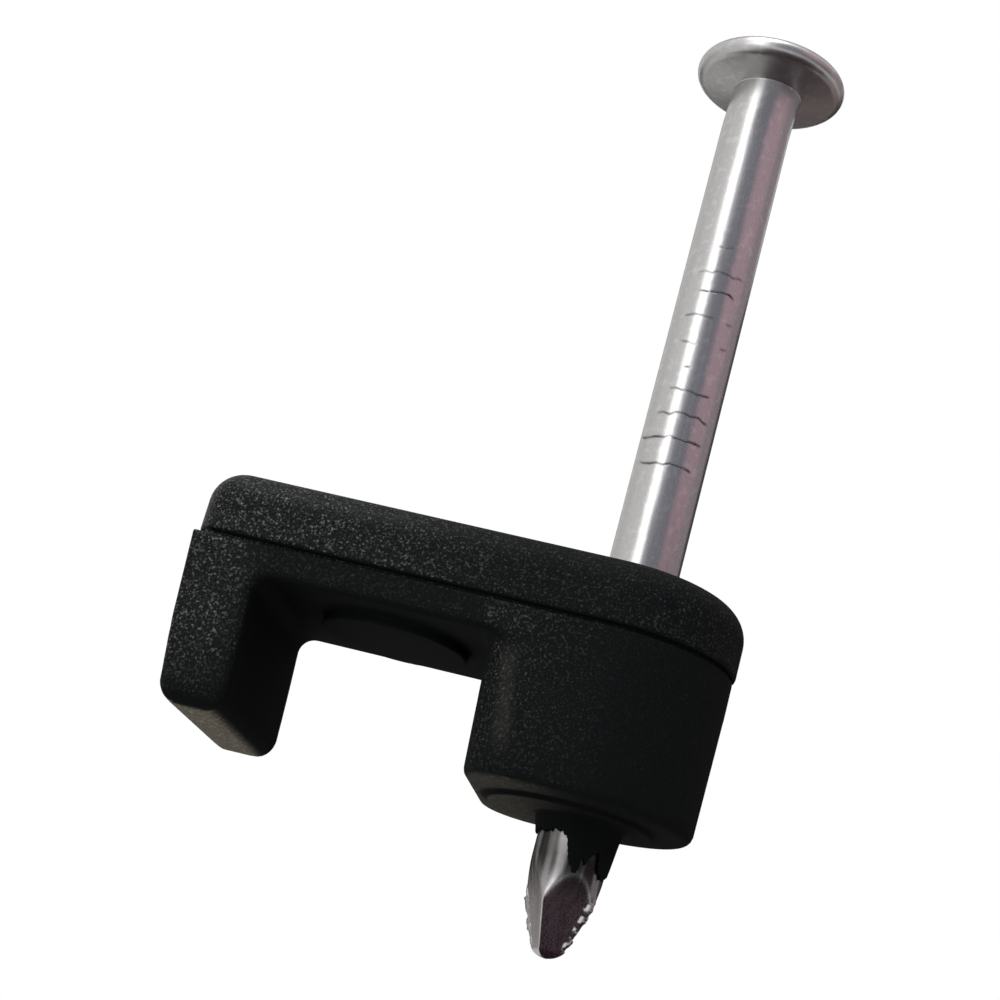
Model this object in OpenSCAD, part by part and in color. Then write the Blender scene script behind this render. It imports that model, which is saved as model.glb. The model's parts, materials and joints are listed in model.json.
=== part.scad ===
// Nail-in cable clip: a one-piece moulded saddle that straddles a flat cable,
// held to the wall by a plated steel nail through its boss.
// Frame: the origin is on the nail's axis, in the plane of the wall. +Z runs up the nail
// to its head, -X runs from the boss to the leg, and Y runs along the cable.

/* [Cable slot] */
// Width of the cable slot at its ceiling, from the leg to the boss
slot_w = 6.35; // [4:0.05:12]
// Height of the cable slot, from the wall to its ceiling
slot_h = 3.8; // [2.5:0.05:8]
// Fillet where the leg meets the ceiling of the slot
slot_fillet = 0.5; // [0.1:0.05:0.6]

/* [Clip body] */
// Size of the clip along the cable
clip_d = 6.9; // [6:0.1:9]
// Thickness of the leg at the parting line
leg_t = 2; // [1.6:0.01:3]
// How far the leg toes in towards the boss at its foot
leg_toe = 0.24; // [0:0.01:0.4]
// How much thinner the leg is at its foot
leg_thin = 0.1; // [0:0.01:0.3]
// Distance from the nail's axis back to the boss's flank at the ceiling of the slot
boss_back = 3.23; // [2.9:0.01:5]
// How far the boss's flank leans in at its lower end
flank_draft = 0.16; // [0:0.01:0.4]
// How far the boss's other walls lean in at their lower end
wall_draft = 0.07; // [0:0.01:0.1]
// Distance from the nail's axis back to the centre of the round nose
nose_back = 0.31; // [0:0.01:0.6]
// Thickness of the web, from the ceiling of the slot to the parting line
web_t = 0.92; // [0.5:0.02:2]
// Thickness of the cap above the parting line
cap_t = 1.89; // [1.2:0.01:3]

/* [Edges] */
// Roll of the cap's upper edge
cap_roll = 0.95; // [0.3:0.05:0.95]
// Radius of the cap's two corners over the leg, seen from above
cap_corner = 1; // [0.95:0.05:2]
// Roll of the boss's lower edge
boss_roll = 0.25; // [0.2:0.05:0.6]
// Radius of the boss's two corners beside the slot, at their lower end
boss_corner = 1.55; // [0.65:0.05:1.7]
// Radius of those two corners at the ceiling of the slot
boss_corner_top = 1; // [0.3:0.05:1.7]
// Radius of the leg's foot on its outer side
foot_outer = 0.35; // [0.2:0.05:0.7]
// Radius of the leg's foot on its slot side
foot_inner = 0.75; // [0.2:0.05:0.8]
// Radius of the leg's foot at its two ends
foot_end = 0.45; // [0.1:0.05:0.5]

/* [Mould marks] */
// How far the cap stands proud of the body below the parting line
seam_step = 0.06; // [0.02:0.01:0.15]
// Height of the witness groove along the parting line
seam_w = 0.1; // [0.04:0.01:0.15]
// Depth of the witness groove, from the body's faces
seam_deep = 0.15; // [0.05:0.01:0.2]
// Diameter of the round ejector pad on the ceiling of the slot
slot_pad_d = 4.15; // [2:0.05:5]
// Distance from the boss's flank to the centre of that pad
slot_pad_at = 2.95; // [2.6:0.05:3.4]
// Height of that pad
slot_pad_h = 0.26; // [0.1:0.02:0.4]
// Diameter of the sleeve-ejector pad under the boss, which seats on the wall
boss_pad_d = 4.55; // [3.6:0.05:4.6]
// Height of that pad
boss_pad_h = 0.12; // [0.1:0.02:0.4]

/* [Nail] */
// Diameter of the shank
nail_d = 2; // [1.6:0.05:2.4]
// Length of the nail, from under its head to its tip
nail_len = 26.1; // [18:0.1:40]
// How far the tip stands out below the wall plane before the clip is driven home
nail_out = 3.65; // [3:0.05:5]
// Diameter of the head
head_d = 4.4; // [3.6:0.1:6]
// Thickness of the head, which is also the diameter of its round rim
head_t = 0.6; // [0.3:0.02:1]
// Fillet under the head
head_fillet = 0.45; // [0.1:0.05:0.7]
// Length of the four-sided diamond point
point_len = 2.6; // [1.5:0.1:3]
// Width of the blunt end of the point
point_flat = 0.54; // [0.1:0.02:0.6]
// Turn of the point's facets about the nail
point_turn = 32; // [0:1:89]
// Clearance between the shank and the bore
nail_clear = 0.01; // [0.01:0.01:0.05]

/* [Grip nicks] */
// Number of nicks left on each side by the heading die
grip_count = 10; // [0:1:14]
// Spacing of the nicks
grip_pitch = 0.75; // [0.5:0.01:1]
// Distance from under the head to the first nick
grip_start = 5.5; // [1:0.1:8]
// Depth of the nicks
grip_depth = 0.05; // [0.02:0.01:0.1]
// Turn of the nicks about the nail
grip_turn = -60; // [-180:1:180]

/* [Torn collar] */
// Thickness of the collar of burst plastic round the nail, where it leaves the boss
collar_root = 0.2; // [0.1:0.01:0.4]
// Thickness of the collar at its torn edge
collar_lip = 0.07; // [0.03:0.01:0.1]

/* [Hidden] */
$fn = 96;

nail_r = nail_d / 2;
bore_r = nail_r + nail_clear;
cap_r = clip_d / 2;
body_r = cap_r - seam_step;
slot_back = boss_back + slot_w;
body_back = slot_back + leg_t;
cap_back = body_back + seam_step;
seam_h = slot_h + web_t;
web_top = seam_h - seam_w;
clip_h = seam_h + cap_t;
tip_z = -nail_out;
head_z = tip_z + nail_len;

// Facets round a full turn on the blended boss
boss_fn = 48;
// Depth to which the boss, the web and the pad of the slot reach into each other where they join
join = 0.05;

// Torn petals of the collar: start angle, angle covered and length below the boss's pad
PETALS = [
    [-195, 90, 0.42],
    [-105, 50, 0.9],
    [-55, 30, 0.6],
    [-25, 30, 1.3],
    [5, 160, 0.5]
];

// Unit vector along v
function unit(v) = v / norm(v);

// Sliver between the corner at the point at and its rounding of radius r, reaching past the
// corner. Taken away it rounds an outer corner, and added it fills an inner one.
module rounding(before, at, after, r) {
    a = unit(before - at);
    b = unit(after - at);
    half = acos(a * b) / 2;
    inward = unit(a + b);
    centre = at + inward * r / sin(half);
    difference() {
        polygon([at - inward * r, at + a * r / tan(half), centre, at + b * r / tan(half)]);
        translate(centre) circle(r);
    }
}

// Half section of a slab of height h whose outer upper edge, at radius r, is rolled over
module rolled_section(r, h, roll) {
    difference() {
        square([r, h]);
        rounding([r, 0], [r, h], [0, h], roll);
    }
}

// Cap: a slab with a round nose and two round corners behind, its upper edge rolled over
module cap() {
    run = cap_back - cap_corner;
    side_y = cap_r - cap_corner;
    translate([-nose_back, 0, seam_h]) rotate_extrude() rolled_section(cap_r, cap_t, cap_roll);
    translate([-run, 0, seam_h]) rotate([90, 0, 90]) linear_extrude(run - nose_back)
        for (side = [0, 1])
            mirror([side, 0]) rolled_section(cap_r, cap_t, cap_roll);
    for (side = [-1, 1])
        translate([-run, side * side_y, seam_h]) rotate([0, 0, 135 - 45 * side])
            rotate_extrude(angle = 90) rolled_section(cap_corner, cap_t, cap_roll);
    translate([-run, side_y, seam_h]) rotate([90, 0, 0]) linear_extrude(2 * side_y)
        mirror([1, 0]) rolled_section(cap_corner, cap_t, cap_roll);
}

// Flat slab with the round nose in front and square corners behind
module nosed_slab(back, r, h) {
    translate([-nose_back, 0, 0]) cylinder(r = r, h = h);
    translate([-back, -r, 0]) cube([back - nose_back, 2 * r, h]);
}

// Front outline of the leg and of the web over the slot
module leg_and_web_outline() {
    heel = [-body_back + leg_toe + leg_thin, 0];
    toe = [-slot_back + leg_toe, 0];
    inner = [-slot_back, slot_h];
    flank = [-boss_back, slot_h];
    outer = [-body_back, web_top];
    difference() {
        union() {
            polygon([outer, heel, toe, inner, flank, [-boss_back, web_top]]);
            rounding(toe, inner, flank, slot_fillet);
        }
        rounding(outer, heel, toe, foot_outer);
        rounding(heel, toe, inner, foot_inner);
    }
}

// End outline of the clip, with the ends of its foot rounded
module end_outline() {
    corners = [[-body_r, 0], [body_r, 0], [body_r, web_top], [-body_r, web_top]];
    difference() {
        polygon(corners);
        rounding(corners[3], corners[0], corners[1], foot_end);
        rounding(corners[0], corners[1], corners[2], foot_end);
    }
}

// Leg and web, rounded along the foot and at its ends
module leg_and_web() {
    intersection() {
        translate([0, body_r, 0]) rotate([90, 0, 0]) linear_extrude(2 * body_r) leg_and_web_outline();
        translate([-body_back, 0, 0]) rotate([90, 0, 90]) linear_extrude(body_back) end_outline();
    }
}

// Boss that carries the nail: drafted walls, with corners that widen downwards, blended to
// a rolled lower edge, and the web's end on top
module boss() {
    low_r = body_r - wall_draft;
    low_back = boss_back - flank_draft;
    hull($fn = boss_fn) {
        translate([0, 0, slot_h - join]) {
            translate([-nose_back, 0, 0]) rotate([0, 0, -90])
                rotate_extrude(angle = 180) square([body_r, 2 * join]);
            for (side = [-1, 1])
                translate([boss_corner_top - boss_back, side * (body_r - boss_corner_top), 0])
                    cylinder(r = boss_corner_top, h = 2 * join);
        }
        translate([0, 0, boss_pad_h + 2 * boss_roll]) mirror([0, 0, 1]) {
            translate([-nose_back, 0, 0]) rotate([0, 0, -90])
                rotate_extrude(angle = 180) rolled_section(low_r, 2 * boss_roll, boss_roll);
            for (side = [-1, 1])
                translate([boss_corner - low_back, side * (low_r - boss_corner), 0])
                    rotate_extrude() rolled_section(boss_corner, 2 * boss_roll, boss_roll);
        }
    }
    translate([0, 0, slot_h]) nosed_slab(boss_back + join, body_r, web_top - slot_h);
}

// Round marks where the ejectors pushed the clip out of its mould
module ejector_pads() {
    translate([-boss_back - slot_pad_at, 0, slot_h - slot_pad_h])
        cylinder(d = slot_pad_d, h = slot_pad_h + join);
    translate([-nose_back, 0, 0]) cylinder(d = boss_pad_d, h = boss_pad_h + boss_roll);
}

// Torn petals that stand round the nail where it has burst through the boss
module collar() {
    for (petal = PETALS)
        rotate([0, 0, petal[0]]) rotate_extrude(angle = petal[1])
            polygon([
                [nail_r / 2, boss_pad_h],
                [bore_r + collar_root, boss_pad_h],
                [bore_r + collar_root, 0],
                [bore_r + collar_lip, -petal[2]],
                [nail_r / 2, -petal[2]]
            ]);
}

// One-piece moulding: cap, witness groove, leg, web, boss, pads and torn collar
module clip_body() {
    color([0.09, 0.09, 0.1]) difference() {
        union() {
            cap();
            translate([0, 0, web_top]) nosed_slab(body_back - seam_deep, body_r - seam_deep, seam_w);
            leg_and_web();
            boss();
            ejector_pads();
            collar();
        }
        translate([0, 0, tip_z]) cylinder(r = bore_r, h = nail_len);
    }
}

// Section of the head, with its round rim and the fillet that runs into the shank
module head_section() {
    rim_r = head_t / 2;
    square([head_d / 2 - rim_r, head_t]);
    translate([head_d / 2 - rim_r, rim_r]) circle(rim_r);
    rounding([head_d / 2, 0], [nail_r, 0], [nail_r, -nail_len], head_fillet);
    translate([0, -head_fillet]) square([nail_r, head_fillet]);
}

// Waste beside one facet of the diamond point
module facet_waste() {
    lean = atan((nail_r - point_flat / 2) / point_len);
    translate([point_flat / 2, -nail_d, tip_z]) rotate([0, lean, 0])
        translate([0, 0, -nail_r]) cube([nail_d, 2 * nail_d, point_len + 2 * nail_r]);
}

// V-shaped nick across one side of the shank
module nick_waste() {
    translate([nail_r - grip_depth, -nail_r, 0]) rotate([0, 45, 0]) cube([nail_r, nail_d, nail_r]);
}

// Plated nail: flat head with a round rim, nicked shank and diamond point
module nail() {
    color([0.75, 0.75, 0.77]) difference() {
        union() {
            translate([0, 0, head_z]) rotate_extrude() head_section();
            translate([0, 0, tip_z]) cylinder(r = nail_r, h = nail_len - head_fillet);
        }
        for (k = [0:3])
            rotate([0, 0, point_turn + 90 * k]) facet_waste();
        for (i = [0:1:grip_count - 1], side = [0, 180])
            translate([0, 0, head_z - grip_start - i * grip_pitch])
                rotate([0, 0, grip_turn + side]) nick_waste();
    }
}

clip_body();
nail();
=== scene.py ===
# %% [markdown]
# A nail-in cable clip
#
# The clip is a black plastic saddle that straddles a flat cable, with a plated steel nail standing
# in its boss. This lesson dresses the measured solids in Blender: it works the visible surfaces out
# with numpy, gives them their finishes, and sets up a small studio round them.

# %% The frame
import json

import bpy
import numpy as np
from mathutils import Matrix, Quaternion, Vector


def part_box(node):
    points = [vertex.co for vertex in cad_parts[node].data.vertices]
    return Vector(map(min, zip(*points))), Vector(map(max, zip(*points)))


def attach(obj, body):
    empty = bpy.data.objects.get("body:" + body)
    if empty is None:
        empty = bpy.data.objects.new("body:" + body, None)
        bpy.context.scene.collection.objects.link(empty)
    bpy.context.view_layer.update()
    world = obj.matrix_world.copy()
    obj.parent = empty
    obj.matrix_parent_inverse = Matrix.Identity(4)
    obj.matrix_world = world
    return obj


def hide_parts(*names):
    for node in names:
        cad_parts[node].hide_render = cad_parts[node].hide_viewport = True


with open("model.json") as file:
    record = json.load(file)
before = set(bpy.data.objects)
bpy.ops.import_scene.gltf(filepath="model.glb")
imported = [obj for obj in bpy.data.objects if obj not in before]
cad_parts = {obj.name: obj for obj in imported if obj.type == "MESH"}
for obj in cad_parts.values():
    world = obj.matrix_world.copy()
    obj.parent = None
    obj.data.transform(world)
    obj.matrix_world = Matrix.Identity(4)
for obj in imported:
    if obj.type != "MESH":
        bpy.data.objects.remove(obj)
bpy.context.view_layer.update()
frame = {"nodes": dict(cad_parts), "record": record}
print("frame nodes:", sorted(frame["nodes"]))

# %% [markdown]
# Sizes
#
# All shapes are worked out in millimetres, in the frame of the solids: the origin is on the nail's
# axis in the plane of the wall, +Z runs up the nail, and -X runs from the boss to the leg. What the
# solids can tell is measured from them, so that the skins stay where the solids are.

# %% Sizes measured from the solids
MM = 0.001
clip_low, clip_high = (np.array(corner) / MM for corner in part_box("clip_body"))
nail_low, nail_high = (np.array(corner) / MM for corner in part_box("nail"))
mounts = {mount["name"]: mount for mount in frame["record"]["mounts"]}

CAP_R = clip_high[1]
CAP_BACK = -clip_low[0]
CLIP_H = clip_high[2]
NOSE_BACK = CAP_R - clip_high[0]
NAIL_R = mounts["nail_point"]["dims"]["r_mm"]
TIP_Z = nail_low[2]
HEAD_TOP = nail_high[2]
HEAD_R = nail_high[0]
print(f"clip {clip_high - clip_low} mm, nail {nail_high - nail_low} mm")

# %% [markdown]
# The camera
#
# The picture looks up at the clip from a little below the wall plane, with the camera rolled so that
# the nail leans to the right. Setting the camera first means that every later step can be judged in
# the picture's own frame.

# %% Camera
CAMERA_AT = (5.642, -55.060, -8.306)
CAMERA_AIM = (-3.872, -2.929, 7.384)
CAMERA_ROLL = 15.595
LENS = 74.878
SENSOR = 36.0


def place_camera():
    """Camera at a point, aimed at a second point, and turned about its own line of sight."""
    data = bpy.data.cameras.new("camera")
    data.lens = LENS
    data.sensor_width = SENSOR
    data.clip_start = 0.001
    camera = bpy.data.objects.new("camera", data)
    bpy.context.scene.collection.objects.link(camera)
    sight = Vector(CAMERA_AIM) - Vector(CAMERA_AT)
    level = sight.to_track_quat("-Z", "Y")
    camera.rotation_mode = "QUATERNION"
    camera.rotation_quaternion = level @ Quaternion((0, 0, 1), np.radians(CAMERA_ROLL))
    camera.location = Vector(CAMERA_AT) * MM
    bpy.context.scene.camera = camera
    return camera


print("camera at", place_camera().location)

# %% [markdown]
# Meshes from arrays
#
# Both pieces end as arrays of points and faces. One helper puts them into a mesh, scaled from
# millimetres to metres, with smooth shading and any values that a material reads from the surface.

# %% Mesh helper
def new_piece(name, points, faces, **values):
    """Object named name from points in mm and faces as lists of point numbers. Each further value is
    kept on the mesh as one number per point."""
    mesh = bpy.data.meshes.new(name)
    mesh.from_pydata((points * MM).tolist(), [], faces)
    mesh.polygons.foreach_set("use_smooth", np.ones(len(faces), bool))
    for value_name, numbers in values.items():
        attribute = mesh.attributes.new(value_name, "FLOAT", "POINT")
        attribute.data.foreach_set("value", np.asarray(numbers, np.float32))
    mesh.update()
    piece = bpy.data.objects.new(name, mesh)
    bpy.context.scene.collection.objects.link(piece)
    print(f"{name}: {len(points)} points, {len(faces)} faces")
    return piece


def ease(low, high, value):
    """Smooth step: 0 below low, 1 above high, and a curve with flat ends between them."""
    share = np.clip((value - low) / (high - low), 0, 1)
    return share * share * (3 - 2 * share)


# %% [markdown]
# The moulded body as a field of distances
#
# A saddle with a slot, a bore and a torn collar has no single pair of parameters that runs over all
# of it. A mould maker thinks of it as blocks that are joined, cut and rounded, and numpy can do the
# same: every block is a function that gives the distance to its surface, negative inside. The
# smaller of two distances joins two blocks, the larger one keeps what they share, and a quarter
# circle between the two distances rounds the edge or fills the corner.

# %% Joining, cutting and rounding
def round_and(a, b, radius):
    """What two solids share, with the edge between them rounded. Near that edge the two distances are
    the sides of a right angle, and the surface is a circle of the radius inside it."""
    return np.minimum(np.maximum(a, b), -radius) + np.hypot(
        np.maximum(a + radius, 0), np.maximum(b + radius, 0)
    )


def round_or(a, b, radius):
    """Two solids together, with the corner between them filled by a quarter circle of the radius."""
    return np.maximum(np.minimum(a, b), radius) - np.hypot(
        np.maximum(radius - a, 0), np.maximum(radius - b, 0)
    )


def nosed(x, y, half):
    """Distance from the long sides and the round nose of a slab, seen from above: a half circle about
    the nose's centre in front of it, and two straight sides behind."""
    return np.where(x > -NOSE_BACK, np.hypot(x + NOSE_BACK, y), np.abs(y)) - half


def wall(x, z, top, foot, side):
    """Distance out of a leaning wall that runs from the point top to the point foot, seen from the
    front: the offset from top, multiplied by the wall's normal. side 1 faces +X and -1 faces -X."""
    run = np.subtract(foot, top) / np.hypot(*np.subtract(foot, top))
    return side * ((z - top[1]) * run[0] - (x - top[0]) * run[1])


# %% [markdown]
# Sizes of the moulding
#
# These are the moulding's own sizes: the cable slot, the drafts that let it leave the mould, the
# rolled edges, the parting line and the round pads that the ejector pins leave.

# %% Moulding sizes
SLOT_W, SLOT_H, SLOT_FILLET = 6.35, 3.8, 0.5
LEG_TOE, LEG_THIN = 0.24, 0.1
BOSS_BACK, BOSS_ROLL = 3.23, 0.27
BOSS_CORNER, BOSS_CORNER_TOP = 1.55, 1.0
FLANK_DRAFT, WALL_DRAFT = 0.16, 0.07
WEB_T = 0.92
CAP_ROLL, CAP_CORNER, CAP_LIP = 0.95, 1.0, 0.1
FOOT_OUTER, FOOT_INNER, FOOT_END = 0.55, 0.7, 0.65
FOOT_CORNER, FOOT_CORNER_REACH = 0.35, 2.5
SEAM_STEP, SEAM_W, SEAM_DEEP = 0.06, 0.1, 0.15
SLOT_PAD_R, SLOT_PAD_AT, SLOT_PAD_H = 2.075, 2.95, 0.26
BOSS_PAD_R, BOSS_PAD_H = 2.275, 0.12
SOFT_EDGE, SLOT_EDGE, BOSS_FILLET = 0.05, 0.22, 0.3

BODY_R = CAP_R - SEAM_STEP
BODY_BACK = CAP_BACK - SEAM_STEP
SLOT_BACK = BOSS_BACK + SLOT_W
SEAM_H = SLOT_H + WEB_T
WEB_TOP = SEAM_H - SEAM_W
BORE_R = NAIL_R + 0.01

# %% [markdown]
# The torn collar
#
# The nail has burst through the bottom of the boss, and a ragged skin of plastic stands round it.
# Its length is a curve round the nail, through a few lengths read off the picture, with small
# waves on it for the torn fibres.

# %% Torn collar
COLLAR_ROOT, COLLAR_LIP = 0.2, 0.08
# Angle round the nail in degrees, and length of the tear there
TEARS = [
    (-180, 0.45), (-157, 0.49), (-135, 0.5), (-118, 0.46), (-105, 0.44), (-98, 0.52), (-94, 0.75),
    (-91, 1.0), (-84, 1.25), (-76, 1.4), (-70, 1.42), (-67, 1.05), (-64, 1.12), (-61, 1.2), (-57, 1.0),
    (-52, 0.8), (-46, 0.74), (-41, 0.9), (-36, 1.3), (-24, 1.37), (-6, 1.28), (6, 0.6), (30, 0.4),
    (60, 0.5), (100, 0.42), (140, 0.55),
]
TORN_AT, TORN_TO = np.array(TEARS).T
FIBRES = [(13, 0.035, 0.4), (29, 0.03, 1.7), (47, 0.02, 2.9)]


def torn_length(x, y):
    """Length of the collar below the wall plane, by angle round the nail: straight lines between the
    read lengths, plus a sine of each fibre's count, height and phase."""
    angle = np.arctan2(y, x)
    length = np.interp(np.degrees(angle), TORN_AT, TORN_TO, period=360)
    for count, height, phase in FIBRES:
        length = length + height * np.sin(count * angle + phase)
    return length


# %% The whole moulding
def cap(x, y, z):
    """Slab with a round nose and two round corners behind, between the parting line and the top,
    its upper edge rolled over."""
    plan = round_and(nosed(x, y, CAP_R), -x - CAP_BACK, CAP_CORNER)
    return round_and(round_and(plan, z - CLIP_H, CAP_ROLL), SEAM_H - z, CAP_LIP)


def seam(x, y, z):
    """Neck of the witness groove under the cap: the body's outline, set in by the groove's depth."""
    plan = np.maximum(nosed(x, y, BODY_R - SEAM_DEEP), -x - BODY_BACK + SEAM_DEEP)
    return np.maximum(plan, np.abs(z - WEB_TOP) - 2 * SEAM_W)


def foot_radius(inner, outer, ends):
    """Radius of the foot's edge: the mean of the three sides' own radii, where each side's weight
    grows as e to the power of its distance, so that the nearest side has nearly all of it."""
    weight = np.exp(6 * np.stack(np.broadcast_arrays(inner, outer, ends)))
    return np.tensordot([FOOT_INNER, FOOT_OUTER, FOOT_END], weight, 1) / weight.sum(0)


def leg_and_web(x, y, z):
    """Leaning leg and level web: everything behind the leg's inner wall or above the ceiling, with a
    fillet between them, kept inside the outer wall, the ends and the foot, all rounded. The leg's
    upright edges grow rounder towards the foot."""
    inner = wall(x, z, (-SLOT_BACK, SLOT_H), (-SLOT_BACK + LEG_TOE, 0), 1)
    outer = wall(x, z, (-BODY_BACK, WEB_TOP), (-BODY_BACK + LEG_TOE + LEG_THIN, 0), -1)
    ends = nosed(x, y, BODY_R)
    slot_side = round_or(inner, SLOT_H - z, SLOT_FILLET)
    corner = FOOT_CORNER * (1 - ease(0, FOOT_CORNER_REACH, z))
    plan = round_and(round_and(slot_side, ends, SLOT_EDGE + corner / 3), outer, SOFT_EDGE + corner)
    footed = round_and(plan, -z, foot_radius(inner, outer, ends))
    return round_and(footed, z - WEB_TOP, SOFT_EDGE)


def boss(x, y, z):
    """Block that grips the nail: a round nose whose walls lean in by their draft, a leaning flank
    whose round corners widen downwards, and a rolled lower edge."""
    depth = np.clip((SLOT_H - z) / (SLOT_H - BOSS_PAD_H), 0, 1)
    flank = wall(x, z, (-BOSS_BACK, SLOT_H), (-BOSS_BACK + FLANK_DRAFT, BOSS_PAD_H), -1)
    corner = BOSS_CORNER_TOP + (BOSS_CORNER - BOSS_CORNER_TOP) * depth
    plan = round_and(nosed(x, y, BODY_R - WALL_DRAFT * depth), flank, corner)
    return np.maximum(round_and(plan, BOSS_PAD_H - z, BOSS_ROLL), z - WEB_TOP)


def pads(x, y, z):
    """Two round pads that the ejectors leave, one on the ceiling of the slot and one under the boss."""
    slot_pad = np.hypot(x + BOSS_BACK + SLOT_PAD_AT, y) - SLOT_PAD_R
    slot_pad = np.maximum(round_and(slot_pad, SLOT_H - SLOT_PAD_H - z, SOFT_EDGE), z - WEB_TOP)
    boss_pad = np.hypot(x + NOSE_BACK, y) - BOSS_PAD_R
    boss_pad = np.maximum(round_and(boss_pad, -z, SOFT_EDGE), z - SLOT_H)
    return np.minimum(slot_pad, boss_pad)


def collar(x, y, z):
    """Sleeve round the nail that thins from its root to its lip and ends at the torn length."""
    length = torn_length(x, y)
    thinned = np.clip(-z / length, 0, 1) * (COLLAR_ROOT - COLLAR_LIP)
    sleeve = np.hypot(x, y) - BORE_R - COLLAR_ROOT + thinned
    return np.maximum(np.maximum(sleeve, -z - length), z - SLOT_H)


def moulding(x, y, z):
    """All blocks joined, with the bore through them. The fillet between web and boss would bulge where
    their sides are flush, so the body's outline cuts it off there."""
    outline = round_and(nosed(x, y, BODY_R), z - WEB_TOP, SOFT_EDGE)
    body = round_or(leg_and_web(x, y, z), boss(x, y, z), BOSS_FILLET)
    solid = np.minimum(np.maximum(body, outline), pads(x, y, z))
    solid = np.minimum(solid, np.minimum(cap(x, y, z), seam(x, y, z)))
    solid = round_or(solid, collar(x, y, z), SOFT_EDGE)
    return round_and(solid, BORE_R - np.hypot(x, y), SOFT_EDGE / 2)


# %% [markdown]
# From the field to a skin
#
# The field is sampled on a grid whose lines crowd together near edges and round the collar. Every
# cell that the surface passes through gets one point, at the mean of the places where the surface
# cuts the cell's edges, and every grid line that pierces the surface gets one face between the four
# cells round it. Two steps along the field's slope then set the points exactly on the surface.

# %% Skin helper
def crowded(low, high, coarse, fine, places, reach):
    """Grid lines from low to high whose spacing falls from coarse to fine near each place, on a bell
    curve of that reach. The running sum of lines per millimetre is read backwards at whole numbers."""
    along = np.linspace(low, high, 4001)
    near = np.exp(-(((along[:, None] - np.array(places)) / reach) ** 2)).max(1)
    density = 1 / (coarse + (fine - coarse) * near)
    lines = np.concatenate([[0], np.cumsum((density[1:] + density[:-1]) / 2 * np.diff(along))])
    return np.interp(np.linspace(0, lines[-1], int(np.ceil(lines[-1])) + 1), lines, along)


def slope(field, points, step=0.004):
    """Gradient of the field at the points, from the difference over two steps along each axis."""
    gradient = np.empty_like(points)
    for axis, offset in enumerate(np.eye(3) * step):
        ahead, behind = points + offset, points - offset
        gradient[:, axis] = (field(*ahead.T) - field(*behind.T)) / (2 * step)
    return gradient


def skin(field, axes):
    """Points and faces of the surface where the field is zero, on the grid of the three axes."""
    value = field(axes[0][:, None, None], axes[1][None, :, None], axes[2][None, None, :])
    inside = value < 0
    corner = np.array(list(np.ndindex(2, 2, 2)))
    shape = np.array(inside.shape) - 1
    filled = sum(
        inside[i : shape[0] + i, j : shape[1] + j, k : shape[2] + k].astype(np.int8)
        for i, j, k in corner
    )
    crossed = (filled > 0) & (filled < 8)
    number = np.full(crossed.shape, -1)
    number[crossed] = np.arange(crossed.sum())

    spot = np.argwhere(crossed)[:, None, :] + corner
    level = value[tuple(np.moveaxis(spot, -1, 0))]
    place = np.stack([line[spot[..., axis]] for axis, line in enumerate(axes)], -1)
    pairs = [(a, b) for a in range(8) for b in range(a) if np.abs(corner[a] - corner[b]).sum() == 1]
    start, end = np.array(pairs).T
    cut = (level[:, start] < 0) != (level[:, end] < 0)
    rise = np.where(cut, level[:, start] - level[:, end], 1)
    share = np.where(cut, level[:, start] / rise, 0)[..., None]
    pierced = place[:, start] + share * (place[:, end] - place[:, start])
    points = (pierced * cut[..., None]).sum(1) / cut.sum(1)[:, None]
    for _ in range(2):
        gradient = slope(field, points)
        steep = np.maximum((gradient**2).sum(1), 0.2)
        points -= (np.clip(field(*points.T), -SOFT_EDGE, SOFT_EDGE) / steep)[:, None] * gradient

    faces = []
    for axis in range(3):
        side = np.moveaxis(inside, axis, 0)[:, 1:-1, 1:-1]
        cell = np.moveaxis(number, axis, 0)
        pierces = side[:-1] != side[1:]
        ring = [cell[:, :-1, :-1], cell[:, 1:, :-1], cell[:, 1:, 1:], cell[:, :-1, 1:]]
        quads = np.stack(ring, -1)[pierces]
        outward = side[:-1][pierces] != (axis == 1)
        faces.append(np.where(outward[:, None], quads, quads[:, ::-1]))
    return points, np.concatenate(faces)


# %% Body skin
MARGIN = 0.15
COARSE, FINE, FINE_REACH = 0.13, 0.045, 0.22
COLLAR_ROUND = np.linspace(-1.2, 1.2, 9)
body_axes = (
    crowded(
        -CAP_BACK - MARGIN, clip_high[0] + MARGIN, COARSE, FINE,
        [-CAP_BACK, -SLOT_BACK + LEG_TOE / 2, -BOSS_BACK, *COLLAR_ROUND], FINE_REACH,
    ),
    crowded(
        -CAP_R - MARGIN, CAP_R + MARGIN, COARSE, FINE,
        [-BODY_R, BODY_R, *COLLAR_ROUND], FINE_REACH,
    ),
    crowded(
        -max(TORN_TO) - 2 * MARGIN, CLIP_H + MARGIN, COARSE, FINE / 2,
        [*np.linspace(-1.4, 0, 6), BOSS_PAD_H, SLOT_H - SLOT_PAD_H, SLOT_H, WEB_TOP, SEAM_H], 0.15,
    ),
)
body_points, body_quads = skin(moulding, body_axes)
body_slope = slope(moulding, body_points)
body_normal = body_slope / np.linalg.norm(body_slope, axis=1)[:, None]
print("grid", [len(line) for line in body_axes], "quads", len(body_quads))
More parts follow.
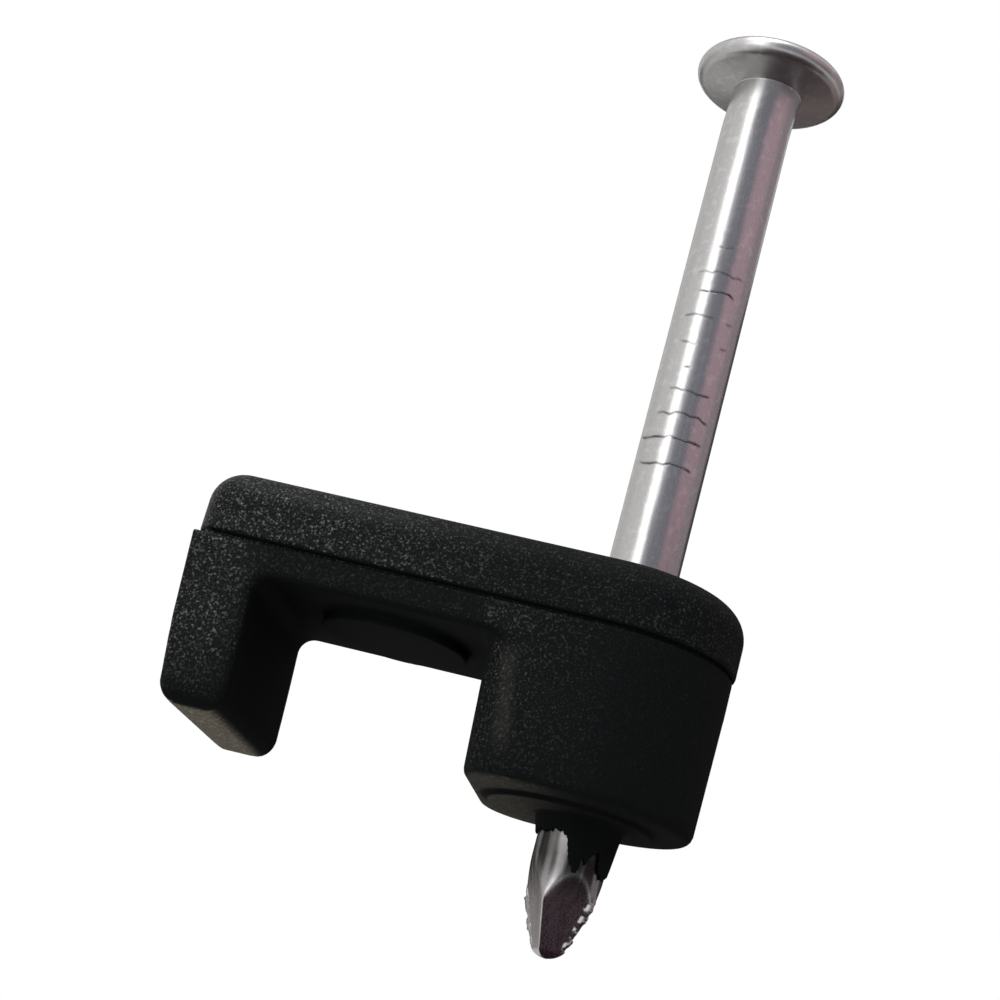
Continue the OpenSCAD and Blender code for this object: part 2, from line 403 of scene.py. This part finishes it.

# %% [markdown]
# Where the grain is
#
# The mould was spark-eroded on the outside, which leaves a sparkling grain on the cap, on the leg's
# outer faces and, fainter, on the boss. Inside the slot, under the foot and on the pads the steel was
# polished. One number on each point says how much grain there is, from the way the surface faces, and
# so how many painted glints there are; on the cap it falls off as painted light does, and just inside
# the boss's corner it paints a highlight. A second one says where the plastic is rubbed and dusty, and
# where light from below, shade in the groove round the boss's pad and highlights on the boss's upright
# corners are painted.

# %% Grain on the body
# Places from the leg to the nose, and the share of grain and painted glints there below the parting
# line; the peak just inside the boss's corner is a painted highlight
GRAIN_AT = [
    -BODY_BACK, -SLOT_BACK - 0.7, -SLOT_BACK + 0.1, -BOSS_BACK - 0.3, -BOSS_BACK + 0.2, -2.5, 0.6,
]
GRAIN_THERE = [0.82, 0.82, 0.14, 0.14, 0.6, 0.34, 0.04]
# The first value is how far grain and painted glints fall on the cap towards the nose: a painted
# fall-off of light.
CAP_FALL, LOW_FALL, LOW_FALL_LEG, WEB_GRAIN = 0.78, 0.4, 0.3, 0.4
# Shares of paler colour under the boss, from its slot side to its nose, and on its upright corners:
# dust,  painted light from below that falls off towards the nose, and a painted highlight on the
# corners.
BOSS_SOLE, NOSE_SOLE, CORNER_SOLE = 0.36, 0.02, 0.11


def grain_share(points, normal):
    """Share of grain and of painted glints. On the cap it falls from the leg's end to the nose, a
    painted fall-off of light. Below the parting line it is read off straight lines between given
    places, is held down on the web and fades downwards; the peak just inside the boss's corner paints a
    highlight. It is 0 where the surface faces down or into the slot, on the collar and on the edge of
    the boss's pad."""
    x, y, z = points.T
    on_cap = 1 - CAP_FALL * ease(-CAP_BACK + 1, -1, x)
    on_leg = 1 - ease(-SLOT_BACK, -SLOT_BACK + 1, x)
    lost = (LOW_FALL + LOW_FALL_LEG * on_leg) * (1 - ease(0.3, 2, z))
    below = np.interp(x, GRAIN_AT, GRAIN_THERE) * (1 - lost)
    on_web = (1 - on_leg) * ease(SLOT_H - 0.4, SLOT_H, z)
    below = below + (np.minimum(below, WEB_GRAIN) - below) * on_web
    in_slot_x = ease(-SLOT_BACK - 0.3, -SLOT_BACK, x) * (1 - ease(-BOSS_BACK, -BOSS_BACK + 0.4, x))
    into_slot = np.maximum(ease(0.8, 0.92, np.abs(normal[:, 0])), np.abs(y) < BODY_R - 0.4)
    into_slot = in_slot_x * into_slot * (z < SLOT_H)
    share = below + (on_cap - below) * ease(WEB_TOP, SEAM_H, z)
    off_pad = ease(0.06, 0.2, np.hypot(x + NOSE_BACK, y) - BOSS_PAD_R) + ease(0.3, 0.6, z)
    return share * (1 - ease(0.35, 0.7, -normal[:, 2])) * (1 - into_slot) * np.minimum(off_pad, 1)


def sole_share(points, normal):
    """Share of paler colour, for dust and for painted light from below: 1 where the foot is flat or
    turns up into the slot, and less where the boss is low and faces down, falling towards its nose as a
    painted fall-off of light. It is 0 on the collar, and in the groove round the boss's pad as painted
    shade. A little of it lies on the boss's upright corners as a painted highlight."""
    x, y, z = points.T
    foot = (1 - ease(0.1, 0.4, np.abs(normal[:, 1]))) * (1 - ease(0.2, 0.7, normal[:, 0]))
    foot = foot * ease(0.5, 0.8, -normal[:, 2])
    fading = BOSS_SOLE + (NOSE_SOLE - BOSS_SOLE) * ease(-2.6, 0.3, x)
    share = np.where(x < -BOSS_BACK - 1, foot, fading * ease(0.6, 1, -normal[:, 2]))
    off_pad = np.hypot(x + NOSE_BACK, y) - BOSS_PAD_R
    # No paler colour in the groove round the pad: painted shade there.
    groove = ease(-0.06, -0.02, off_pad) * (1 - ease(0.1, 0.3, off_pad))
    off_collar = ease(0, 0.1, np.hypot(x, y) - BORE_R - COLLAR_ROOT)
    share = share * (1 - ease(0.3, 0.7, z)) * off_collar * (1 - groove)
    # A painted highlight down the boss's upright corners.
    sideways = -normal[:, 0]
    corner = ease(0.08, 0.25, sideways) * (1 - ease(0.35, 0.6, sideways))
    corner = corner * ease(0.6, 1.4, z) * (1 - ease(SLOT_H - 0.7, SLOT_H - 0.1, z))
    corner = corner * (x > -BOSS_BACK - 0.2) * (np.hypot(x, y) > 2 * NAIL_R)
    return np.maximum(share, CORNER_SOLE * corner)


clip_skin = new_piece(
    "clip_skin",
    body_points,
    body_quads.tolist(),
    grain=grain_share(body_points, body_normal),
    sole=sole_share(body_points, body_normal),
)
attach(clip_skin, "root")
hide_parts("clip_body")

# %% [markdown]
# The nail as a profile carried round its axis
#
# A nail is a piece of wire, so its surface is a radius for every height and angle. The head is
# upset from the wire and has a round rim. Gripping dies leave a row of nicks on the shank, and
# pinching dies cut four facets for the point and squeeze a ragged burr out between them.

# %% Nail sizes
HEAD_T, HEAD_FILLET, HEAD_CONE = 0.6, 0.03, 0.14
HEAD_LEAN, HEAD_OFF = 2.0, 0.08
POINT_LEN, POINT_FLAT = 2.6, 0.54
NICK_DEPTH, NICK_WIDTH = 0.016, 0.026
SECTORS = 144
HEAD_Z = HEAD_TOP - HEAD_T
# Height and strength of each nick, and the angles in degrees between which it shows
NICKS = [
    (16.76, 0.3, -92, -75), (15.92, 0.35, -115, -44), (15.32, 1.0, -107, -53),
    (14.56, 0.45, -121, -80), (14.55, 0.4, -50, -42), (13.68, 0.45, -116, -96),
    (13.77, 0.5, -48, -40), (12.95, 0.9, -99, -93), (12.25, 0.65, -113, -52),
    (11.53, 0.75, -125, -43), (10.81, 1.0, -152, -46), (10.02, 0.9, -138, -52),
]


# %% Nail profile
LATTICE = np.random.default_rng(4).uniform(0, 1, (128, 128))


def nail_profile():
    """Radius and height of each row, from the middle of the head's top to the tip: a flat top, a half
    circle for the rim, a slightly conical underside, a quarter circle into the shank, and the shank's
    rows, which crowd together at the nicks and at the point."""
    rim = HEAD_T / 2
    over = np.linspace(0, np.pi, 15)
    under = np.linspace(0, np.pi / 2, 12)
    neck_z = HEAD_Z - HEAD_CONE
    cone_r = np.linspace(HEAD_R - rim, NAIL_R + HEAD_FILLET, 6)[1:-1]
    cone_z = np.linspace(HEAD_Z, neck_z, 6)[1:-1]
    nick_top, nick_end = NICKS[0][0] + 0.3, NICKS[-1][0] - 0.3
    shank_z = np.concatenate([
        np.linspace(neck_z - HEAD_FILLET, nick_top, 8, endpoint=False)[1:],
        np.linspace(nick_top, nick_end, 400, endpoint=False),
        np.linspace(nick_end, TIP_Z + POINT_LEN, 12, endpoint=False),
        np.linspace(TIP_Z + POINT_LEN, TIP_Z, 110),
    ])
    rows = [
        (np.linspace(0.2, HEAD_R - rim, 6, endpoint=False), HEAD_TOP),
        (HEAD_R - rim + rim * np.sin(over), HEAD_Z + rim + rim * np.cos(over)),
        (cone_r, cone_z),
        (NAIL_R + HEAD_FILLET * (1 - np.sin(under)), neck_z - HEAD_FILLET * (1 - np.cos(under))),
        (NAIL_R, shank_z),
    ]
    rows = [np.broadcast_arrays(radius, height) for radius, height in rows]
    return np.concatenate([row[0] for row in rows]), np.concatenate([row[1] for row in rows])


def lumps(along, across):
    """Seeded random heights on a lattice of whole numbers, blended between the four nearest ones by
    an eased share along each of the two directions."""
    along, across = np.broadcast_arrays(along, across)
    row, column = np.floor(along).astype(int), np.floor(across).astype(int)
    down, right = ease(0, 1, along - row), ease(0, 1, across - column)
    blended = 0
    for i, j in np.ndindex(2, 2):
        weight = (down if i else 1 - down) * (right if j else 1 - right)
        blended = blended + weight * LATTICE[(row + i) % 128, (column + j) % 128]
    return blended


def nick_cut(angle, height):
    """Share of a nick's depth at each angle and height: a bell curve across each nick, inside a window
    of angles. Lumps round the nail break the nick's strength up and make it wander up and down. The
    far side has the same row, turned half round."""
    cut = np.zeros(np.broadcast(angle, height).shape)
    for row, (middle, strength, first, last) in enumerate(NICKS):
        for turned in (0, 180):
            degrees = (np.degrees(angle) - turned + 180) % 360 - 180
            window = ease(first - 6, first + 3, degrees) * (1 - ease(last - 3, last + 6, degrees))
            broken = np.clip(0.3 + 1.1 * lumps(5.0 * row, degrees / 7), 0, 1)
            wander = 0.09 * (lumps(5.0 * row + 2, degrees / 12) - 0.5)
            across = (height - middle - wander) / NICK_WIDTH
            cut = np.maximum(cut, strength * broken * window * np.exp(-(across**2)))
    return cut


# %% Point
# Angle of each facet's normal in degrees, and height above the tip at which the facet runs out
FACETS = [(-67, 2.2), (-157, 2.45), (23, 2.35), (113, 2.35)]
SHARPNESS = 40
# The second pair of angles gives the edges along which pale glints are painted on the burr.
BURR_AT, FLECK_AT, BURR_WIDTH, BURR_OUT = (-22, 158), (-31, 167), 5.0, 0.09


def pinched(radius, angle, height):
    """Radius inside the four leaning planes of the point. Along each direction a plane is its distance
    from the axis over the cosine to its normal, and the smallest of all radii is taken softly: each
    is turned over, raised to a high power, added up and turned back."""
    total = radius**-SHARPNESS
    for normal, length in FACETS:
        share = (height - TIP_Z) / length
        reach = POINT_FLAT / 2 + share * (NAIL_R - POINT_FLAT / 2)
        total = total + (np.maximum(np.cos(angle - np.radians(normal)), 0) / reach) ** SHARPNESS
    return total ** (-1 / SHARPNESS)


def burr(angle, height, edges):
    """Ragged fins on the two edges where the dies met: a bell curve across each edge, times lumps of 5
    degrees by 0.11 mm, squared, and finer ones."""
    fins = np.zeros(np.broadcast(angle, height).shape)
    window = ease(TIP_Z + 0.1, TIP_Z + 0.3, height) * (1 - ease(TIP_Z + 1.6, TIP_Z + 2.1, height))
    for edge in edges:
        degrees = (np.degrees(angle) - edge + 180) % 360 - 180
        coarse = lumps((height - TIP_Z) / 0.11 + edge, degrees / 5) ** 2
        fine = lumps((height - TIP_Z) / 0.05 + edge, degrees / 3)
        fins = fins + np.exp(-((degrees / BURR_WIDTH) ** 2)) * (0.8 * coarse + 0.25 * fine) * window
    return fins


# %% Nail skin
TIP_ROUND = 0.2
# Least, gain and most of the darker streaks on the shank below the boss.
SMEAR_LEAST, SMEAR_GAIN, SMEAR_MOST = 0.35, 1.2, 0.94
profile_r, profile_z = nail_profile()
turn = np.radians(FACETS[0][0] + 45) + np.arange(SECTORS) * 2 * np.pi / SECTORS
row_z = profile_z[:, None]
blunt = np.sqrt(np.clip(1 - (1 - np.clip((row_z - TIP_Z) / TIP_ROUND, 0, 1)) ** 2, 0.03, 1))
nick = nick_cut(turn, row_z) * (row_z < HEAD_Z - 1)
streaks = lumps(row_z / 1.5, np.degrees(turn) / 6)
# Darker streaks on the shank from just below the boss down to the upper part of the point.
smear = np.minimum(SMEAR_LEAST + SMEAR_GAIN * streaks, SMEAR_MOST)
smear = smear * (1 - ease(-0.5, 0.5, row_z)) * ease(TIP_Z + 1.2, TIP_Z + 2.4, row_z)
ragged = burr(turn, row_z, BURR_AT)
nail_radius = pinched(profile_r[:, None], turn, row_z) * blunt - NICK_DEPTH * nick + BURR_OUT * ragged
nail_x, nail_y = nail_radius * np.cos(turn), nail_radius * np.sin(turn)
headward = ease(HEAD_Z - 1.3, HEAD_Z - 0.1, row_z)
leaning_z = row_z - headward * np.sin(np.radians(HEAD_LEAN)) * (nail_y + HEAD_R)
nail_grid = np.stack([nail_x + HEAD_OFF * headward, nail_y, leaning_z], -1)

rows, sectors = nail_radius.shape
ring = np.arange(rows * sectors).reshape(rows, sectors)
beside = np.roll(ring, -1, axis=1)
nail_quads = np.stack([ring[:-1], ring[1:], beside[1:], beside[:-1]], -1).reshape(-1, 4)
top_pole, tip_pole = rows * sectors, rows * sectors + 1
top_fan = np.stack([np.full(sectors, top_pole), ring[0], beside[0]], -1)
tip_fan = np.stack([np.full(sectors, tip_pole), beside[-1], ring[-1]], -1)
poles = [nail_grid[0].mean(0), [0, 0, TIP_Z]]
nail_skin = new_piece(
    "nail_skin",
    np.concatenate([nail_grid.reshape(-1, 3), poles]),
    nail_quads.tolist() + top_fan.tolist() + tip_fan.tolist(),
    # Painted shade in the nicks, with darker streaks on the shank below the boss.
    dirt=np.append(np.maximum(np.sqrt(nick), smear).ravel(), [0, 0]),
    head=np.append(np.broadcast_to(headward, nick.shape).ravel(), [1, 0]),
    # Painted glints on the burr.
    flecks=np.append(ease(0.38, 0.62, burr(turn, row_z, FLECK_AT)).ravel(), [0, 0]),
)
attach(nail_skin, "root")
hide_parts("nail")

# %% [markdown]
# A grain that two finishes share
#
# Spark erosion on the plastic and plating on the steel both leave a fine, irregular grain, at
# different sizes and depths. A node group makes it once: cells for the craters and noise for what
# lies between them, added to one height. A finer noise gives glints: only its peaks are kept, and they
# are squared, so that a few are bright and most are dim.

# %% Grain group
def link(tree, source, target):
    """Joins an output socket to an input socket."""
    tree.links.new(source, target)


def product(tree, first, second):
    """Product of two sockets."""
    node = tree.nodes.new("ShaderNodeMath")
    node.operation = "MULTIPLY"
    link(tree, first, node.inputs[0])
    link(tree, second, node.inputs[1])
    return node.outputs[0]


def scaled(tree, socket, low, high):
    """The socket's 0 to 1, mapped to low to high."""
    node = tree.nodes.new("ShaderNodeMapRange")
    node.inputs["To Min"].default_value = low
    node.inputs["To Max"].default_value = high
    link(tree, socket, node.inputs["Value"])
    return node.outputs["Result"]


def grain_group():
    """Node group: cratered height, a mask of high spots and one of glints, which are the squared peaks
    of a finer noise, stronger in some patches than in others. All sizes follow the grains per
    metre."""
    group = bpy.data.node_groups.new("surface_grain", "ShaderNodeTree")
    group.interface.new_socket("Vector", in_out="INPUT", socket_type="NodeSocketVector")
    group.interface.new_socket("Grains per metre", in_out="INPUT", socket_type="NodeSocketFloat")
    group.interface.new_socket("Height", in_out="OUTPUT", socket_type="NodeSocketFloat")
    group.interface.new_socket("High spots", in_out="OUTPUT", socket_type="NodeSocketFloat")
    group.interface.new_socket("Glints", in_out="OUTPUT", socket_type="NodeSocketFloat")
    nodes = group.nodes
    given = nodes.new("NodeGroupInput")
    made = nodes.new("NodeGroupOutput")
    craters = nodes.new("ShaderNodeTexVoronoi")
    craters.feature = "SMOOTH_F1"
    craters.inputs["Smoothness"].default_value = 0.35
    between = nodes.new("ShaderNodeTexNoise")
    between.inputs["Detail"].default_value = 1.0
    between.inputs["Roughness"].default_value = 0.6
    summed = nodes.new("ShaderNodeMath")
    summed.operation = "ADD"
    spots = nodes.new("ShaderNodeMapRange")
    spots.inputs["From Min"].default_value = 1.1
    spots.inputs["From Max"].default_value = 1.4
    finer = nodes.new("ShaderNodeMath")
    finer.operation = "MULTIPLY"
    finer.inputs[1].default_value = 1.5
    sparks = nodes.new("ShaderNodeTexNoise")
    sparks.inputs["Detail"].default_value = 1.0
    peaks = nodes.new("ShaderNodeMapRange")
    peaks.inputs["From Min"].default_value = 0.47
    peaks.inputs["From Max"].default_value = 0.84
    wider = nodes.new("ShaderNodeMath")
    wider.operation = "MULTIPLY"
    wider.inputs[1].default_value = 0.22
    patches = nodes.new("ShaderNodeTexNoise")
    patches.inputs["Detail"].default_value = 1.0
    for texture in (craters, between):
        link(group, given.outputs["Vector"], texture.inputs["Vector"])
        link(group, given.outputs["Grains per metre"], texture.inputs["Scale"])
    link(group, craters.outputs["Distance"], summed.inputs[0])
    link(group, between.outputs["Fac"], summed.inputs[1])
    link(group, summed.outputs[0], spots.inputs["Value"])
    link(group, summed.outputs[0], made.inputs["Height"])
    link(group, spots.outputs["Result"], made.inputs["High spots"])
    link(group, given.outputs["Grains per metre"], finer.inputs[0])
    link(group, given.outputs["Vector"], sparks.inputs["Vector"])
    link(group, finer.outputs[0], sparks.inputs["Scale"])
    link(group, sparks.outputs["Fac"], peaks.inputs["Value"])
    link(group, given.outputs["Grains per metre"], wider.inputs[0])
    link(group, given.outputs["Vector"], patches.inputs["Vector"])
    link(group, wider.outputs[0], patches.inputs["Scale"])
    peak = peaks.outputs["Result"]
    patchy = product(group, peak, scaled(group, patches.outputs["Fac"], 0.5, 1.5))
    link(group, product(group, peak, patchy), made.inputs["Glints"])
    return group


surface_grain = grain_group()
print("grain group sockets:", [item.name for item in surface_grain.interface.items_tree])


# %% Material helpers
def new_material(name):
    """Empty node material with a Principled BSDF, which is returned with the node tree."""
    material = bpy.data.materials.new(name)
    material.use_nodes = True
    tree = material.node_tree
    return material, tree, tree.nodes["Principled BSDF"]


def grain_node(tree, per_metre):
    """The grain group on the piece's own coordinates."""
    place = tree.nodes.new("ShaderNodeTexCoord")
    grain = tree.nodes.new("ShaderNodeGroup")
    grain.node_tree = surface_grain
    grain.inputs["Grains per metre"].default_value = per_metre
    link(tree, place.outputs["Object"], grain.inputs["Vector"])
    return grain


def surface_value(tree, name):
    """A number kept on the mesh, read by its name."""
    node = tree.nodes.new("ShaderNodeAttribute")
    node.attribute_name = name
    return node.outputs["Fac"]


def blend_node(tree, share, first, second):
    """Colour between first and second, each a colour or a socket, by the share socket."""
    mix = tree.nodes.new("ShaderNodeMix")
    mix.data_type = "RGBA"
    for name, colour in (("A", first), ("B", second)):
        if isinstance(colour, tuple):
            mix.inputs[name].default_value = (*colour, 1)
        else:
            link(tree, colour, mix.inputs[name])
    link(tree, share, mix.inputs["Factor"])
    return mix.outputs["Result"]


def bump_node(tree, height, distance, shader):
    """Bump of a real height in metres, put on the shader's normal."""
    node = tree.nodes.new("ShaderNodeBump")
    node.inputs["Distance"].default_value = distance
    link(tree, height, node.inputs["Height"])
    link(tree, node.outputs["Normal"], shader.inputs["Normal"])
    return node


# %% [markdown]
# Black plastic
#
# The moulding is black nylon or polypropylene. It is nearly black in itself, and smooth and dull where
# the steel was polished. Where it was eroded, its sparkle is painted: pale glints in the base colour.
# The grain number on the surface drives the depth of the bump, the roughness and the painted glints,
# and the second number pales what is rubbed and dusty, and paints light from below, shade in the groove
# round the boss's pad and highlights on the boss's upright corners.

# %% Black plastic
BLACK, GLINT, SOLE = (0.0034, 0.0044, 0.0046), (0.245, 0.24, 0.24), (0.19, 0.172, 0.135)
PLAIN_ROUGH, GRAIN_ROUGH = 0.85, 0.38


def black_plastic():
    """Near-black plastic: eroded grain, painted glints, and paler colour for dust and painted light."""
    material, tree, shader = new_material("black_plastic")
    grain = grain_node(tree, 10500)
    share = surface_value(tree, "grain")
    mottled = scaled(tree, grain.outputs["High spots"], 0.5, 1.1)
    # Paler for dust on the soles, for painted light from below, for painted shade in the groove and for
    # painted highlights on the boss's corners.
    dusty = product(tree, surface_value(tree, "sole"), mottled)
    plain = blend_node(tree, dusty, BLACK, SOLE)
    # Painted highlights: pale glints blended into the base colour where the grain number asks for them.
    glinting = product(tree, grain.outputs["Glints"], share)
    link(tree, blend_node(tree, glinting, plain, GLINT), shader.inputs["Base Color"])
    link(tree, scaled(tree, share, PLAIN_ROUGH, GRAIN_ROUGH), shader.inputs["Roughness"])
    shader.inputs["IOR"].default_value = 1.46
    shader.inputs["Specular IOR Level"].default_value = 0.09
    bump_node(tree, product(tree, grain.outputs["Height"], share), 2e-5, shader)
    return material


clip_skin.data.materials.append(black_plastic())

# %% [markdown]
# Plated steel
#
# The nail is drawn wire with a satin zinc plating. Drawing leaves fine lines and shallow dents along
# the shank, and the struck head is duller than the shank. Shade is painted into the nicks, and the
# shank is painted darker in streaks below the boss. The burr on the point is torn, and pale glints
# are painted on it.

# %% Plated steel
def long_noise(tree, per_metre, stretch):
    """Noise on the piece's own coordinates, stretched along the nail."""
    place = tree.nodes.new("ShaderNodeTexCoord")
    along = tree.nodes.new("ShaderNodeMapping")
    along.inputs["Scale"].default_value = (1, 1, 1 / stretch)
    noise = tree.nodes.new("ShaderNodeTexNoise")
    noise.inputs["Scale"].default_value = per_metre
    noise.inputs["Detail"].default_value = 2
    link(tree, place.outputs["Object"], along.inputs["Vector"])
    link(tree, along.outputs["Vector"], noise.inputs["Vector"])
    return noise.outputs["Fac"]


def total(tree, first, second):
    """Sum of two sockets."""
    node = tree.nodes.new("ShaderNodeMath")
    link(tree, first, node.inputs[0])
    link(tree, second, node.inputs[1])
    return node.outputs[0]


def plated_steel():
    """Satin zinc plating with drawing lines and dents along the nail, a duller head, painted shade in
    the nicks, darker streaks below the boss and painted glints on the burr."""
    material, tree, shader = new_material("plated_steel")
    grain = grain_node(tree, 5000)
    lines = long_noise(tree, 9000, 50)
    dents = long_noise(tree, 2200, 3)
    plating = blend_node(tree, grain.outputs["High spots"], (0.52, 0.515, 0.515), (0.6, 0.595, 0.59))
    # Painted shade in the nicks and darker streaks below the boss darken the plating.
    dirty = blend_node(tree, surface_value(tree, "dirt"), plating, (0.04, 0.036, 0.036))
    # Painted glints on the burr: a pale base colour and little metal.
    flecks = surface_value(tree, "flecks")
    link(tree, blend_node(tree, flecks, dirty, (0.85, 0.85, 0.86)), shader.inputs["Base Color"])
    link(tree, scaled(tree, flecks, 1, 0.15), shader.inputs["Metallic"])
    dull = scaled(tree, surface_value(tree, "head"), 0, 0.07)
    link(tree, total(tree, scaled(tree, lines, 0.2, 0.34), dull), shader.inputs["Roughness"])
    bump_node(tree, total(tree, scaled(tree, lines, 0, 0.12), dents), 8e-6, shader)
    return material


nail_skin.data.materials.append(plated_steel())

# %% [markdown]
# The studio
#
# The ground of the picture is plain white. The world is white to the camera and to reflections, and
# dimmer as a light. A dark card in front keeps black plastic black, a warm card stands on the right,
# and a strip lamp on the left draws the bright line along the nail. Cards on the floor set what the
# head's underside, the slot and the point mirror.

# %% Studio helpers
def stage_plane(name, centre, facing, width, height, colour, glow=0.0):
    """Flat card of a plain colour, in mm, centred at a point and facing a direction."""
    half = np.array([[-1, -1, 0], [1, -1, 0], [1, 1, 0], [-1, 1, 0]]) * [width / 2, height / 2, 0]
    rotation = Vector(facing).to_track_quat("Z", "Y").to_matrix()
    corners = half @ np.array(rotation).T + centre
    card = new_piece(name, corners, [[0, 1, 2, 3]])
    material, _, shader = new_material(name)
    shader.inputs["Base Color"].default_value = (*colour, 1)
    shader.inputs["Roughness"].default_value = 1.0
    shader.inputs["Specular IOR Level"].default_value = 0.0
    shader.inputs["Emission Color"].default_value = (*colour, 1)
    shader.inputs["Emission Strength"].default_value = glow
    card.data.materials.append(material)
    return card


def round_about(azimuth, elevation, distance):
    """Point in mm at that distance from the clip, by compass angle about the nail and height angle."""
    a, e = np.radians(azimuth), np.radians(elevation)
    direction = np.array([np.cos(a) * np.cos(e), np.sin(a) * np.cos(e), np.sin(e)])
    return direction * distance + STUDIO_MIDDLE


def lamp(name, azimuth, elevation, distance, width, height, power, colour=(1, 1, 1)):
    """Area lamp in watts that faces the clip, and that only lights and reflections see."""
    data = bpy.data.lights.new(name, "AREA")
    data.shape = "RECTANGLE"
    data.size, data.size_y = width * MM, height * MM
    data.energy = power
    data.color = colour
    light = bpy.data.objects.new(name, data)
    at = round_about(azimuth, elevation, distance)
    light.location = Vector(at) * MM
    light.rotation_mode = "QUATERNION"
    light.rotation_quaternion = Vector(STUDIO_MIDDLE - at).to_track_quat("-Z", "Y")
    light.visible_camera = False
    bpy.context.scene.collection.objects.link(light)
    return light


def only_reflected(card):
    """Keeps a card out of the picture, out of the light and out of the shadows."""
    card.visible_camera = False
    card.visible_diffuse = False
    card.visible_shadow = False
    return card


def glow_card(name, azimuth, elevation, distance, width, height, colour):
    """Card of even brightness that faces the clip, and that only reflections see."""
    at = round_about(azimuth, elevation, distance)
    return only_reflected(stage_plane(name, at, STUDIO_MIDDLE - at, width, height, colour, glow=1.0))


def floor_card(name, x, y, width, depth, colour):
    """Card of even brightness that lies just above the floor, and that only reflections see."""
    at = (x, y, FLOOR_Z + 0.5)
    return only_reflected(stage_plane(name, at, (0, 0, 1), width, depth, colour, glow=1.0))


# %% Studio
STUDIO_MIDDLE = np.array([-2.0, 0.0, 8.0])
FLOOR_Z = -22.0
AMBIENT = 0.55

stage_plane("floor", (0, 0, FLOOR_Z), (0, 0, 1), 900, 900, (0.8, 0.79, 0.78))
glow_card("front_card", -71, 20, 230, 250, 330, (0.14, 0.14, 0.165))
glow_card("right_card", -18, 33, 230, 220, 170, (0.32, 0.23, 0.26))
glow_card("right_low_card", -18, 2, 200, 190, 80, (0.06, 0.05, 0.054))
glow_card("right_back_card", 33, 14, 240, 220, 260, (0.2, 0.17, 0.18))
glow_card("back_card", 95, -2, 70, 120, 28, (0.02, 0.019, 0.018))
glow_card("slot_card", 66, 10, 75, 44, 52, (0.02, 0.019, 0.018))
glow_card("back_high_card", 95, 30, 240, 200, 150, (0.2, 0.196, 0.194))
glow_card("left_back_card", 143, 22, 230, 250, 230, (0.42, 0.415, 0.41))
glow_card("left_card", -158, 22, 235, 230, 230, (0.5, 0.495, 0.49))
glow_card("left_low_card", 148, -10, 90, 90, 30, (0.26, 0.24, 0.24))
glow_card("top_card", 95, 66, 250, 300, 220, (0.25, 0.25, 0.25))
floor_card("under_card", 24, -26, 84, 84, (0.016, 0.007, 0.011))
floor_card("under_back_card", 49, 66, 70, 88, (0.16, 0.12, 0.122))
floor_card("under_far_card", 5, 86, 18, 48, (0.16, 0.12, 0.122))
floor_card("under_head_card", 0, 39, 28, 46, (0.01, 0.009, 0.009))
floor_card("under_slot_card", -30, 145, 100, 60, (0.015, 0.015, 0.015))
lamp("strip_lamp", -115, 20, 210, 88, 240, 0.115)
lamp("top_lamp", -115, 68, 280, 150, 150, 0.35)


def white_world():
    """World that is white to the camera and to reflections, and a dimmer grey light to the rest."""
    world = bpy.data.worlds.new("studio")
    world.use_nodes = True
    tree = world.node_tree
    tree.nodes.clear()
    path = tree.nodes.new("ShaderNodeLightPath")
    seen = path.outputs["Is Camera Ray"]
    for other in ("Is Glossy Ray", "Is Transmission Ray"):
        either = tree.nodes.new("ShaderNodeMath")
        either.operation = "MAXIMUM"
        link(tree, seen, either.inputs[0])
        link(tree, path.outputs[other], either.inputs[1])
        seen = either.outputs[0]
    light = tree.nodes.new("ShaderNodeBackground")
    light.inputs["Strength"].default_value = AMBIENT
    ground = tree.nodes.new("ShaderNodeBackground")
    ground.inputs["Color"].default_value = (1, 1, 1, 1)
    light.inputs["Color"].default_value = (1, 1, 1, 1)
    mix = tree.nodes.new("ShaderNodeMixShader")
    output = tree.nodes.new("ShaderNodeOutputWorld")
    link(tree, seen, mix.inputs["Fac"])
    link(tree, light.outputs[0], mix.inputs[1])
    link(tree, ground.outputs[0], mix.inputs[2])
    link(tree, mix.outputs[0], output.inputs["Surface"])
    bpy.context.scene.world = world


white_world()
bpy.context.scene.view_settings.view_transform = "Standard"
